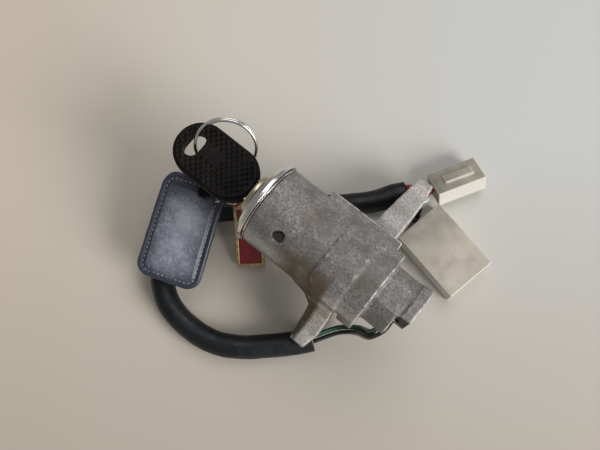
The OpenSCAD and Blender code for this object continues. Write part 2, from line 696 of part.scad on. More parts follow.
module tag_strap() color("crimson") difference() {
    hull() {
        tag_eye(tag_eye_out, eye_w);
        tag_frame_at() translate([0.5, -4.6, tag_t / 2]) cube(tag_lug);
    }
    tag_eye(tag_eye_in, 3 * eye_w);
}

lock_housing();
front_bezel();
cylinder_sleeve();
retaining_pin();
key_plug();
plug_cap();
wafers();
cam_shaft();
lock_bolt();
contact_rotor();
contact_bridge();
switch_base();
fixed_contacts();
switch_wires();
harness_sheath();
upper_wires();
lower_wires();
upper_connector();
lower_connector();
upper_terminals();
lower_terminals();
key_blade();
key_head();
split_ring();
fob_link();
fob_strap();
fob_leather();
fob_rivet();
tag_link();
tag_strap();
tag_frame();
tag_enamel();
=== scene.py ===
"""Ignition switch with steering lock, key, key ring, fob, tag and harness, dressed on its CAD frame.

Every size below is in millimetres in the CAD frame until mm() makes it metres.
"""

import json
import math

import bmesh
import bpy
from bpy.props import FloatProperty, FloatVectorProperty, PointerProperty
from bpy.types import Operator, Panel, PropertyGroup
from mathutils import Matrix, Vector, noise

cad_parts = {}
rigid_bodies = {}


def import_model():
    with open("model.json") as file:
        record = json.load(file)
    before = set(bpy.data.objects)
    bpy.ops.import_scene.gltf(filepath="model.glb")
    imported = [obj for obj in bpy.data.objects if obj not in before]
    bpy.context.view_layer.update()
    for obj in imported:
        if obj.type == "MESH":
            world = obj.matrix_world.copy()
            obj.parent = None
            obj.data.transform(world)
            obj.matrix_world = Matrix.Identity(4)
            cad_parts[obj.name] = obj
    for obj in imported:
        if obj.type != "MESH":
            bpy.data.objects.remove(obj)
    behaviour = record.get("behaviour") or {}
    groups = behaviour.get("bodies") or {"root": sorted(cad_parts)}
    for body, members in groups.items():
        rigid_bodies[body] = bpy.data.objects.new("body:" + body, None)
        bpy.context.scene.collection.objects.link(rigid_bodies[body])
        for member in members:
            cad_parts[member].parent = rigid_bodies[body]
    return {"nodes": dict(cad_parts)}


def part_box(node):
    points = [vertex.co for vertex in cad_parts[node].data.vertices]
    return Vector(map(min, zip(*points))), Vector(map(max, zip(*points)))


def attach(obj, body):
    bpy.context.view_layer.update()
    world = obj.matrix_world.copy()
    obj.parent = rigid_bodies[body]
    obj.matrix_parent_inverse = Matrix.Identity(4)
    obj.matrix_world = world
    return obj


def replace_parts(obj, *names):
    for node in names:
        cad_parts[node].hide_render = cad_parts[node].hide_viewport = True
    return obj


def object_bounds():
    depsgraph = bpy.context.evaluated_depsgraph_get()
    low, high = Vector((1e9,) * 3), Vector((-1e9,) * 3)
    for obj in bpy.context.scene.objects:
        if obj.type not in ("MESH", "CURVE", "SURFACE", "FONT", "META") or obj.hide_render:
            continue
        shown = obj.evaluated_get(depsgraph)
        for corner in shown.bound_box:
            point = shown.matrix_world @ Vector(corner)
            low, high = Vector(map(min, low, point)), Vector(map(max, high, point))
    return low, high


bl_info = {
    "name": "Ignition switch",
    "version": (1, 0, 0),
    "blender": (4, 5, 0),
    "location": "View3D > Sidebar > Switch",
    "description": "Dresses the CAD frame of an ignition switch with its finishes and soft pieces",
    "category": "Object",
}

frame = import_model()
CAD_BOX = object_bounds()
NODES = frame["nodes"]

# Bodies that the pieces ride on
ROOT, KEY, FOB, TAG = "lock_body", "key_cylinder", "fob", "tag"
# The table, the barrel's axis and its front face
TABLE_Z = -10.6
AXIS_Y, AXIS_Z = -10.8, 33.0
FRONT_X = -39.5
# The harness: its radii, and the height of its middle on the table
SHEATH_R, WIRE_R = 5.0, 0.9
WIRE_Z = TABLE_Z + SHEATH_R
# Vertices nearer than this are merged, in millimetres: in a CAD copy and in a shape made here
CAD_MERGE, MERGE = 0.002, 0.001


# Units, paths and places

def mm(*values):
    """Millimetres as metres: one number, or a vector."""
    if len(values) == 1:
        return values[0] * 0.001
    return Vector(values) * 0.001


def curve_through(points, steps):
    """Catmull-Rom points through the given ones, as the CAD source lays its tubes."""
    pts = [Vector(p) for p in points]
    out = []
    for i in range(len(pts) - 1):
        a, b = pts[max(i - 1, 0)], pts[i]
        c, d = pts[i + 1], pts[min(i + 2, len(pts) - 1)]
        for j in range(steps):
            t = j / steps
            out.append(0.5 * (2 * b + (c - a) * t + (2 * a - 5 * b + 4 * c - d) * t * t
                              + (3 * b - a - 3 * c + d) * t * t * t))
    return out + [pts[-1]]


def shifted(points, side, up):
    """The path moved sideways and upwards in its own cross-section."""
    out = []
    for i, p in enumerate(points):
        ahead = points[min(i + 1, len(points) - 1)] - points[max(i - 1, 0)]
        across = ahead.normalized().cross(Vector((0, 0, 1))).normalized()
        out.append(p + side * across + up * across.cross(ahead.normalized()))
    return out


def placed(at, turn, slope):
    """A frame at a point, turned about Z and then sloped about its own Y, in metres."""
    return (Matrix.Translation(mm(*at)) @ Matrix.Rotation(math.radians(turn), 4, "Z")
            @ Matrix.Rotation(math.radians(slope), 4, "Y"))


# The fob's own frame, and in it the eyelet and the middle of the tag's link
FOB_PLACE = placed((-72.4, -17.8, 17.6), -70, 19)
EYELET = (5, 10.4)
TAG_LINK = (5, 14.1, 0)
# Points on the table that the sleeve goes through, and the way of the switch wires down to it
SHEATH_ROUTE = [
    (3, -37.5), (-0.5, -42), (-9, -50.5), (-18, -58.5), (-28.5, -64), (-41, -65.5), (-52.5, -63.5),
    (-61.5, -57.5), (-67.5, -49), (-71, -39), (-69, -28), (-62, -19.5), (-52.5, -11), (-36.5, 3),
    (-21.5, 16.5), (-13, 25.5), (-8.5, 32.5), (-5, 37)]
SWITCH_ROUTE = [
    (22, -15.3, 28.5), (22, -19.8, 24), (20.5, -23, 17.5), (18.5, -23.5, 10), (16, -23.5, 3.5),
    (12.5, -25, -2), (9, -28, -5), (6, -32.5, WIRE_Z), (3.3, -37.2, WIRE_Z)]


# Mesh helpers

def piece(bm, name, body, material, smooth=True):
    """Makes the bmesh a named piece that rides on a body."""
    mesh = bpy.data.meshes.new(name)
    bm.to_mesh(mesh)
    bm.free()
    mesh.polygons.foreach_set("use_smooth", [smooth] * len(mesh.polygons))
    mesh.materials.append(material)
    obj = bpy.data.objects.new(name, mesh)
    bpy.context.collection.objects.link(obj)
    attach(obj, body)
    return obj


def node_copy(node):
    """A merged copy of a CAD node's mesh."""
    bm = bmesh.new()
    bm.from_mesh(NODES[node].data)
    bmesh.ops.remove_doubles(bm, verts=bm.verts, dist=mm(CAD_MERGE))
    return bm


def baked(bm, *modifiers):
    """The bmesh after modifiers, each a (type, settings) pair."""
    mesh = bpy.data.meshes.new("working")
    bm.to_mesh(mesh)
    bm.free()
    obj = bpy.data.objects.new("working", mesh)
    bpy.context.collection.objects.link(obj)
    for kind, settings in modifiers:
        mod = obj.modifiers.new(kind.title(), kind)
        for key, value in settings.items():
            setattr(mod, key, value)
    done = bpy.data.meshes.new_from_object(obj.evaluated_get(bpy.context.evaluated_depsgraph_get()))
    out = bmesh.new()
    out.from_mesh(done)
    bpy.data.objects.remove(obj)
    for used in (mesh, done):
        bpy.data.meshes.remove(used)
    return out


def cut_by(tool, bm):
    """The bmesh less the closed shape of a second one."""
    mesh = bpy.data.meshes.new("tool")
    tool.to_mesh(mesh)
    tool.free()
    obj = bpy.data.objects.new("tool", mesh)
    bpy.context.collection.objects.link(obj)
    bm = baked(bm, ("BOOLEAN", {"object": obj, "operation": "DIFFERENCE", "solver": "EXACT"}))
    bpy.data.objects.remove(obj)
    bpy.data.meshes.remove(mesh)
    return bm


def softened(bm, voxel, rounds, place=None):
    """Remeshes evenly in the piece's own frame and rounds the edges, as in a casting or moulding."""
    if place:
        bm.transform(place.inverted())
    bm = baked(bm, ("REMESH", {"mode": "VOXEL", "voxel_size": mm(voxel)}))
    for _ in range(rounds):
        bmesh.ops.smooth_vert(bm, verts=bm.verts, factor=0.5, use_axis_x=True, use_axis_y=True,
                              use_axis_z=True)
    if place:
        bm.transform(place)
    bm.normal_update()
    return bm


def roughen(bm, amount, grain):
    """Moves each vertex along its normal by seeded noise of the given grain, in millimetres."""
    bm.normal_update()
    moves = [v.normal * noise.noise(v.co * 1000 / grain) * mm(amount) for v in bm.verts]
    for v, move in zip(bm.verts, moves):
        v.co += move


def mark_edges(bm):
    """Stores how far each vertex stands out of its neighbours, in millimetres, for painted edge highlights
    with some wear.
    """
    bm.normal_update()
    layer = bm.verts.layers.float.new("edge_rise")
    for v in bm.verts:
        around = [e.other_vert(v).co for e in v.link_edges]
        v[layer] = (v.co - sum(around, Vector()) / len(around)).dot(v.normal) * 1000


def bevelled(bm, width, segments, sharp):
    """Bevels the edges that are sharper than an angle in degrees."""
    return baked(bm, ("BEVEL", {"width": mm(width), "segments": segments, "limit_method": "ANGLE",
                                "angle_limit": math.radians(sharp), "profile": 0.5,
                                "use_clamp_overlap": True}))


def edged(bm, width, segments):
    """Bevels the sharp edges of a merged CAD copy, whose flat faces are joined first."""
    bmesh.ops.dissolve_limit(bm, angle_limit=math.radians(1), verts=bm.verts, edges=bm.edges)
    return bevelled(bm, width, segments, 35)


def tube_mesh(points, radius, sides, caps=True):
    """A round tube along a path in millimetres, from a bevelled curve."""
    data = bpy.data.curves.new("working", "CURVE")
    data.dimensions = "3D"
    data.bevel_depth = mm(radius)
    data.bevel_resolution = max(sides // 4 - 1, 0)
    data.use_fill_caps = caps
    spline = data.splines.new("POLY")
    spline.points.add(len(points) - 1)
    for point, p in zip(spline.points, points):
        point.co = (*mm(*p), 1)
    obj = bpy.data.objects.new("working", data)
    bpy.context.collection.objects.link(obj)
    mesh = bpy.data.meshes.new_from_object(obj.evaluated_get(bpy.context.evaluated_depsgraph_get()))
    bm = bmesh.new()
    bm.from_mesh(mesh)
    bpy.data.objects.remove(obj)
    bpy.data.curves.remove(data)
    bpy.data.meshes.remove(mesh)
    return closed_up(bm)


def closed_up(bm):
    """Merges what meets and turns all faces outwards."""
    bmesh.ops.remove_doubles(bm, verts=bm.verts, dist=mm(MERGE))
    bmesh.ops.recalc_face_normals(bm, faces=bm.faces)
    return bm


def spun(bm, verts, edges, centre, axis, steps):
    """Turns an outline once round an axis."""
    bmesh.ops.spin(bm, geom=verts + edges, cent=centre, axis=axis, dvec=(0, 0, 0), angle=math.tau,
                   steps=steps, use_merge=True, use_duplicate=False)


def turned(profile, steps):
    """Spins a closed (x, radius) profile about the barrel axis."""
    bm = bmesh.new()
    verts = [bm.verts.new(mm(x, AXIS_Y + r, AXIS_Z)) for x, r in profile]
    edges = [bm.edges.new((a, b)) for a, b in zip(verts, verts[1:] + verts[:1])]
    spun(bm, verts, edges, mm(0, AXIS_Y, AXIS_Z), (1, 0, 0), steps)
    return closed_up(bm)


def add_hoop(bm, radius, wire, sides, steps, place):
    """Adds a hoop of round wire about the Z axis of a place."""
    across = place @ Matrix.Translation(mm(radius, 0, 0)) @ Matrix.Rotation(math.radians(90), 4, "X")
    verts = bmesh.ops.create_circle(bm, segments=sides, radius=mm(wire), matrix=across)["verts"]
    edges = list(dict.fromkeys(e for v in verts for e in v.link_edges))
    spun(bm, verts, edges, place.translation, place.to_3x3().col[2], steps)


# Material helpers

class Finish:
    """A material under construction, with short calls for the nodes that it uses."""

    def __init__(self, name, **sockets):
        self.material = bpy.data.materials.new(name)
        self.material.use_nodes = True
        self.tree = self.material.node_tree
        self.tree.nodes.clear()
        self.shader = self.node("ShaderNodeBsdfPrincipled")
        out = self.node("ShaderNodeOutputMaterial")
        self.link(self.shader.outputs["BSDF"], out.inputs["Surface"])
        self.place = self.node("ShaderNodeTexCoord").outputs["Object"]
        for key, value in sockets.items():
            self.shader.inputs[key.replace("_", " ")].default_value = value

    def node(self, kind):
        return self.tree.nodes.new(kind)

    def link(self, a, b):
        self.tree.links.new(a, b)

    def noise(self, size, detail=3.0, rough=0.55, stretch=None):
        """Noise with features of about the given size in millimetres."""
        node = self.node("ShaderNodeTexNoise")
        node.inputs["Scale"].default_value = 1000 / size
        node.inputs["Detail"].default_value = detail
        node.inputs["Roughness"].default_value = rough
        place = self.place
        if stretch:
            mapping = self.node("ShaderNodeMapping")
            mapping.inputs["Scale"].default_value = stretch
            self.link(place, mapping.inputs["Vector"])
            place = mapping.outputs["Vector"]
        self.link(place, node.inputs["Vector"])
        return node.outputs["Fac"]

    def cells(self, size, feature="F1"):
        """Distances in cells of about the given size in millimetres."""
        node = self.node("ShaderNodeTexVoronoi")
        node.feature = feature
        node.inputs["Scale"].default_value = 1000 / size
        self.link(self.place, node.inputs["Vector"])
        return node.outputs["Distance"]

    def axis(self, letter, low, high):
        """Runs from 0 at low to 1 at high along a CAD axis, in millimetres."""
        split = self.node("ShaderNodeSeparateXYZ")
        self.link(self.place, split.inputs["Vector"])
        return self.span(split.outputs[letter], mm(low), mm(high))

    def span(self, value, low, high, to_low=0.0, to_high=1.0):
        """Maps a value from one range to another and holds it there."""
        node = self.node("ShaderNodeMapRange")
        node.inputs["From Min"].default_value = low
        node.inputs["From Max"].default_value = high
        node.inputs["To Min"].default_value = to_low
        node.inputs["To Max"].default_value = to_high
        self.link(value, node.inputs["Value"])
        return node.outputs["Result"]

    def attribute(self, name):
        """What is stored on the piece's vertices under a name."""
        node = self.node("ShaderNodeAttribute")
        node.attribute_name = name
        return node.outputs["Fac"]

    def math(self, kind, a, b):
        node = self.node("ShaderNodeMath")
        node.operation = kind
        for value, socket in zip((a, b), node.inputs):
            if isinstance(value, float):
                socket.default_value = value
            else:
                self.link(value, socket)
        return node.outputs["Value"]

    def both(self, a, b):
        return self.math("MULTIPLY", a, b)

    def either(self, a, b):
        return self.math("MAXIMUM", a, b)

    def mix(self, factor, a, b):
        """Mixes two colours, each three values or a socket."""
        node = self.node("ShaderNodeMix")
        node.data_type = "RGBA"
        self.link(factor, node.inputs[0])
        for value, socket in ((a, node.inputs[6]), (b, node.inputs[7])):
            if isinstance(value, bpy.types.NodeSocket):
                self.link(value, socket)
            else:
                socket.default_value = (*value[:3], 1)
        return node.outputs[2]

    def tones(self, value, low, high, a, b):
        """Runs from one colour at the value low to another at high."""
        return self.mix(self.span(value, low, high), a, b)

    def colour(self, socket):
        self.link(socket, self.shader.inputs["Base Color"])

    def rough(self, value, low, high):
        """Roughness between two values, by noise."""
        self.link(self.span(value, 0.3, 0.7, low, high), self.shader.inputs["Roughness"])

    def bump(self, height, depth, strength=1.0):
        """Bump whose full height is the given depth in millimetres."""
        node = self.node("ShaderNodeBump")
        node.inputs["Distance"].default_value = mm(depth)
        node.inputs["Strength"].default_value = strength
        self.link(height, node.inputs["Height"])
        last = self.shader.inputs["Normal"]
        if last.is_linked:
            self.link(last.links[0].from_socket, node.inputs["Normal"])
        self.link(node.outputs["Normal"], last)


# Where the casting's tones begin and are full, and the painted shade on the cap's rear step, along the CAD
# axes
# The wings' upward faces are made paler: painted light, with some wear-brightened skin
FAR_WING_Y, NEAR_WING_Y = (10, 16), (-23, -29)
# Painted shade, with some staining, on the near wing's front flank and the barrel beside it
FLANK_FRONT_X, FLANK_REAR_X, FLANK_Y = (-27, -17), (-1.2, -2.8), (-18, -23)
# Darker in patches towards the bottom
LOW_Z = (16, -2)
JOINT_X = (FRONT_X + 0.65, FRONT_X + 0.3)
CAP_STEP_X = (-45.2, -44.6)
FINISHES = {}


def finish(name):
    """The named material, made once."""
    if name not in FINISHES:
        FINISHES[name] = MAKERS[name](bpy.context.scene.switch_colours)
    return FINISHES[name]


def scaled(colour, factor):
    return tuple(c * factor for c in colour[:3])


def cast_zinc(c):
    """Sandy grey with random brown stains, painted light on the wings' upward faces with some
    wear-brightened skin, painted shade with some staining on the near wing's flank, darker patches low
    down, painted glints, and bright edges that are painted highlights with some wear.
    """
    f = Finish("cast_zinc", Metallic=0.3, Roughness=0.6)
    grey = c.casting
    grain = f.noise(0.9, 4, 0.75)
    patch = f.noise(9, 4, 0.6)
    sand = f.span(grain, 0.34, 0.66)
    tone = f.mix(sand, scaled(grey, 0.4), scaled(grey, 1.5))
    tone = f.mix(f.span(patch, 0.42, 0.6, 0.0, 0.7), tone, scaled(grey, 0.5))
    # Painted light: the wings' upward faces are paler
    wings = f.either(f.both(f.axis("Y", *FAR_WING_Y), 0.6), f.axis("Y", *NEAR_WING_Y))
    wings = f.both(wings, f.span(f.attribute("topside"), 0.05, 0.3))
    tone = f.mix(wings, tone, f.mix(sand, scaled(grey, 1.3), scaled(grey, 3.5)))
    # Painted glints: small bright flecks across the cast skin
    glint_fleck = f.both(f.span(f.cells(1.1), 0.2, 0.08), f.span(f.noise(3.5, 3), 0.48, 0.62))
    tone = f.mix(glint_fleck, tone, scaled(grey, 2.3))
    tone = f.mix(f.span(f.noise(15, 3), 0.52, 0.68, 0.0, 0.35), tone, c.grime_and_shade)
    # Painted shade, with some staining, on the near wing's flank
    flank = f.both(f.axis("X", *FLANK_REAR_X), f.axis("Y", *FLANK_Y))
    flank = f.both(flank, f.axis("X", *FLANK_FRONT_X))
    flank = f.both(flank, f.span(patch, 0.3, 0.5, 0.7, 1.0))
    # Darker in patches low down
    low = f.both(f.axis("Z", *LOW_Z), f.span(f.noise(6, 4), 0.45, 0.7, 0.0, 0.5))
    tone = f.mix(f.either(flank, low), tone, c.grime_and_shade)
    # Painted highlights, with some wear, on the edges that stand out
    edge_rise = f.both(f.span(f.attribute("edge_rise"), 0.018, 0.05), f.span(f.noise(2.5, 4), 0.36, 0.6))
    tone = f.mix(edge_rise, tone, scaled(grey, 2.6))
    f.colour(f.mix(f.axis("X", *JOINT_X), tone, scaled(c.grime_and_shade, 0.15)))
    f.rough(grain, 0.45, 0.7)
    f.bump(grain, 0.06, 0.8)
    f.bump(f.noise(2.2, 3), 0.1, 0.6)
    return f.material


def bright_nickel(c):
    f = Finish("bright_nickel", Metallic=1.0, Roughness=0.2)
    rub = f.noise(0.5, 4, 0.7)
    f.colour(f.tones(f.noise(4, 3), 0.35, 0.75, c.nickel, scaled(c.nickel, 0.72)))
    f.rough(rub, 0.12, 0.34)
    f.bump(rub, 0.012, 0.6)
    return f.material


def turned_steel(c):
    f = Finish("turned_steel", Metallic=1.0, Roughness=0.4)
    rub = f.noise(0.3, 3, 0.6)
    f.colour(f.tones(f.noise(2, 3), 0.35, 0.7, scaled(c.nickel, 0.5), scaled(c.nickel, 0.3)))
    f.rough(rub, 0.3, 0.5)
    f.bump(rub, 0.015)
    return f.material


def rusted_steel(c):
    f = Finish("rusted_steel", Metallic=0.4, Roughness=0.6)
    rust = f.noise(0.8, 4, 0.65)
    f.colour(f.tones(rust, 0.38, 0.64, scaled(c.grime_and_shade, 0.2), scaled(c.grime_and_shade, 0.55)))
    f.bump(rust, 0.04)
    return f.material


def dull_brass(c):
    f = Finish("dull_brass", Metallic=1.0, Roughness=0.32)
    rub = f.noise(0.6, 4, 0.65)
    f.colour(f.tones(f.noise(3, 4), 0.38, 0.68, c.brass, scaled(c.brass, 0.55)))
    f.rough(rub, 0.22, 0.46)
    f.bump(rub, 0.012)
    return f.material


def nickel_silver(c):
    """Pale brass-coloured metal with painted shade on the cap's rear step, as of a dark recess by the
    bezel.
    """
    f = Finish("nickel_silver", Metallic=1.0, Roughness=0.3)
    rub = f.noise(0.5, 4, 0.65)
    tone = f.tones(f.noise(2.5, 4), 0.38, 0.7, c.cap, c.cap_dull)
    # Painted shade on the cap's rear step, as of a dark recess by the bezel
    darkening = f.both(f.axis("X", *CAP_STEP_X), f.span(f.noise(3, 3), 0.3, 0.55, 0.75, 1.0))
    f.colour(f.mix(darkening, tone, scaled(c.grime_and_shade, 0.45)))
    f.rough(rub, 0.22, 0.42)
    f.bump(rub, 0.012)
    return f.material


def black_moulding(c):
    f = Finish("black_moulding", Roughness=0.5, Specular_IOR_Level=0.14)
    grain = f.noise(0.35, 3)
    dust = f.both(f.span(f.noise(6, 4), 0.45, 0.75), f.span(f.noise(0.8, 3), 0.4, 0.7))
    f.colour(f.mix(dust, c.moulding, c.moulding_dust))
    f.rough(grain, 0.42, 0.6)
    f.bump(grain, 0.03, 0.7)
    return f.material


def nylon(name, stain, pits):
    """Aged nylon with brown stain over a share of it, darker tops towards the wire end, dark pits, and pale
    sides and edges that are painted light.
    """
    def make(c):
        f = Finish(name, Roughness=0.4, Subsurface_Weight=0.12, Subsurface_Scale=0.002)
        tone = f.tones(f.noise(12, 3), 0.36, 0.66, c.nylon, scaled(c.nylon, 0.84))
        brown = f.both(f.span(f.noise(6, 4, 0.5), 0.46, 0.72), f.span(f.noise(14, 2), 0.4, 0.65))
        tone = f.mix(f.both(brown, stain), tone, c.nylon_stain)
        # Darker on the tops towards the wire end
        darkening = f.both(f.span(f.attribute("wire_end_share"), 0.35, 1.0, 0.0, 0.75),
                      f.span(f.noise(10, 3), 0.3, 0.6, 0.5, 1.0))
        tone = f.mix(darkening, tone, c.nylon_wire_end)
        speck = f.both(f.span(f.cells(1.5), pits, pits * 0.5), f.span(f.noise(7, 3), 0.52, 0.56))
        tone = f.mix(speck, tone, c.nylon_pit)
        # Painted light: the sides, which face away from up, are paler than the tops
        tone = f.mix(f.span(f.attribute("facing_up"), 1.0, 0.0, 0.0, 0.75), tone, c.nylon_lit)
        # Painted highlights on the edges that stand out
        f.colour(f.mix(f.span(f.attribute("edge_rise"), 0.008, 0.03, 0.0, 0.8), tone, c.nylon_lit))
        f.rough(f.noise(2, 3), 0.32, 0.5)
        f.bump(f.noise(0.6, 3), 0.012, 0.5)
        return f.material
    return make


def navy_leather(c):
    """Dark at the border and pale in the middle, where a painted sheen lies over the rubbing of the crown,
    with scuffs and a fine grain.
    """
    f = Finish("navy_leather", Roughness=0.4, Coat_Weight=0.25, Coat_Roughness=0.3)
    wear = f.noise(9, 4, 0.6)
    # Painted sheen, with some wear, over the middle of the crown
    middle = f.span(f.attribute("sheened_and_rubbed"), 0.1, 0.95, 0.06, 1.0)
    sheened_and_rubbed = f.both(middle, f.span(wear, 0.3, 0.62, 0.25, 1.0))
    tone = f.mix(sheened_and_rubbed, c.leather, c.leather_sheen_and_wear)
    scuffed = f.both(middle, f.span(f.noise(1.1, 4, 0.7), 0.5, 0.75, 0.0, 0.6))
    f.colour(f.mix(scuffed, tone, scaled(c.leather_sheen_and_wear, 1.7)))
    f.rough(wear, 0.34, 0.55)
    f.bump(f.cells(0.85, "DISTANCE_TO_EDGE"), 0.1, 0.55)
    f.bump(f.noise(2.4, 4), 0.25, 0.7)
    return f.material


def pale_thread(c):
    f = Finish("pale_thread", Roughness=0.7)
    f.colour(f.tones(f.noise(0.9, 3), 0.35, 0.65, c.thread, scaled(c.thread, 0.55)))
    f.bump(f.noise(0.15, 2, 0.5, (3, 1, 1)), 0.05)
    return f.material


def red_enamel(c):
    f = Finish("red_enamel", Roughness=0.3, Coat_Weight=0.4, Coat_Roughness=0.15)
    f.colour(f.tones(f.noise(2.2, 4), 0.35, 0.7, c.enamel, scaled(c.enamel, 0.5)))
    f.bump(f.noise(1.2, 4), 0.05, 0.6)
    return f.material


def sleeve_pvc(c):
    f = Finish("sleeve_pvc", Roughness=0.5, Specular_IOR_Level=0.35)
    dust = f.both(f.span(f.noise(16, 4), 0.42, 0.7), f.span(f.noise(1.6, 4, 0.7), 0.35, 0.7))
    f.colour(f.mix(dust, c.sleeve, c.sleeve_dust))
    f.rough(f.noise(5, 3), 0.34, 0.6)
    f.bump(f.noise(3.5, 4), 0.3, 0.6)
    f.bump(f.noise(0.5, 3), 0.03)
    return f.material


def wire_cover(name, colour):
    """PVC covering of one colour."""
    def make(_colours):
        f = Finish(name, Roughness=0.4)
        f.colour(f.tones(f.noise(3, 3), 0.35, 0.7, colour, scaled(colour, 0.55)))
        f.bump(f.noise(0.6, 3), 0.03)
        return f.material
    return make


MAKERS = {
    "cast_zinc": cast_zinc,
    "bright_nickel": bright_nickel,
    "turned_steel": turned_steel,
    "rusted_steel": rusted_steel,
    "dull_brass": dull_brass,
    "nickel_silver": nickel_silver,
    "black_moulding": black_moulding,
    "natural_nylon": nylon("natural_nylon", 0.6, 0.1),
    "pitted_nylon": nylon("pitted_nylon", 0.7, 0.2),
    "navy_leather": navy_leather,
    "pale_thread": pale_thread,
    "red_enamel": red_enamel,
    "sleeve_pvc": sleeve_pvc,
    "wire_red": wire_cover("wire_red", (0.32, 0.02, 0.02)),
    "wire_black": wire_cover("wire_black", (0.02, 0.02, 0.022)),
    "wire_green": wire_cover("wire_green", (0.03, 0.14, 0.09)),
    "wire_white": wire_cover("wire_white", (0.55, 0.53, 0.48)),
}


def dress(material, *nodes):
    """Gives CAD nodes that keep their own shape a material."""
    for node in nodes:
        data = NODES[node].data
        data.materials.clear()
        data.materials.append(finish(material))


# Settings

def tint(**settings):
    """A colour, as linear values."""
    return FloatVectorProperty(subtype="COLOR", min=0, max=1, **settings)


class SwitchColours(PropertyGroup):
    """Colours of the finishes, as linear values."""

    casting: tint(name="Casting", description="Zinc casting", default=(0.275, 0.258, 0.246))
    # Also the colour of the painted shade on the near wing's flank and on the cap's rear step
    grime_and_shade: tint(name="Grime", description="Brown grime and rust", default=(0.13, 0.1, 0.065))
    nickel: tint(name="Nickel", description="Bright plated rings", default=(0.88, 0.86, 0.82))
    brass: tint(name="Brass", description="Tag frame, terminals and lock parts", default=(0.72, 0.55, 0.28))
    cap: tint(name="Cap", description="Cap and key blade", default=(0.66, 0.58, 0.43))
    cap_dull: tint(name="Dull cap", description="Cap where it is dull", default=(0.42, 0.36, 0.25))
    moulding: tint(name="Moulding", description="Black key head", default=(0.0065, 0.0052, 0.0044))
    moulding_dust: tint(name="Moulding dust", description="Dust on the key head",
                        default=(0.03, 0.026, 0.022))
    nylon: tint(name="Nylon", description="Plugs", default=(0.55, 0.5, 0.415))
    # Painted light on the plugs' sides and edges
    nylon_lit: tint(name="Clean nylon", description="Edges and sides of the plugs",
                      default=(0.7, 0.68, 0.62))
    nylon_stain: tint(name="Nylon stain", description="Brown stain on the plugs",
                      default=(0.34, 0.25, 0.16))
    # A darker colour for the plugs' tops towards the wire end
    nylon_wire_end: tint(name="Nylon dirt", description="Dirt near the plugs' wires",
                     default=(0.15, 0.135, 0.115))
    nylon_pit: tint(name="Nylon pits", description="Dark pits in the plugs", default=(0.1, 0.075, 0.05))
    leather: tint(name="Leather", description="Fob", default=(0.017, 0.021, 0.04))
    # Painted sheen, with some wear, on the fob's middle
    leather_sheen_and_wear: tint(name="Worn leather", description="Fob where it is rubbed",
                       default=(0.345, 0.355, 0.41))
    thread: tint(name="Thread", description="Fob stitching", default=(0.4, 0.41, 0.48))
    enamel: tint(name="Enamel", description="Tag and its strap", default=(0.33, 0.009, 0.022))
    sleeve: tint(name="Sleeve", description="Harness sleeve", default=(0.0045, 0.0058, 0.0075))
    sleeve_dust: tint(name="Sleeve dust", description="Dust on the sleeve", default=(0.024, 0.027, 0.031))
    # The table top's two tones carry painted light: warm on the left, cool grey on the right
    floor: tint(name="Floor", description="Table top", default=(0.69, 0.6, 0.49))
    floor_right: tint(name="Floor, right", description="Table top at the picture's right",
                      default=(0.62, 0.62, 0.595))


class SwitchSizes(PropertyGroup):
    """Sizes of the details, in millimetres."""

    dimple_pitch: FloatProperty(name="Dimple pitch", description="Between dimples along the key head",
                                default=2.6, min=1.2, max=4)
    dimple_depth: FloatProperty(name="Dimple depth", description="Depth of a dimple",
                                default=0.55, min=0.1, max=0.8)
    stitch_pitch: FloatProperty(name="Stitch pitch", description="Between stitches on the fob",
                                default=1.9, min=1, max=4)
    stitch_length: FloatProperty(name="Stitch length", description="Length of one stitch",
                                 default=1.45, min=0.5, max=3)
    crown: FloatProperty(name="Crown", description="Height of the fob's padding",
                         default=0.4, min=0, max=1.5)
    casting_grain: FloatProperty(name="Casting grain", description="Roughness of the cast skin",
                                 default=0.035, min=0, max=0.3)


class SwitchStage(PropertyGroup):
    """Camera and light."""

    azimuth: FloatProperty(name="Azimuth", description="Camera turn about the part", subtype="ANGLE",
                           default=math.radians(39))
    elevation: FloatProperty(name="Elevation", description="Camera height above the table", subtype="ANGLE",
                             default=math.radians(77))
    distance: FloatProperty(name="Distance", description="Camera to table", unit="LENGTH",
                            default=0.33, min=0.1)
    lens: FloatProperty(name="Lens", description="Focal length on a 36 mm sensor",
                        default=45.5, min=10, max=200)


# Operators

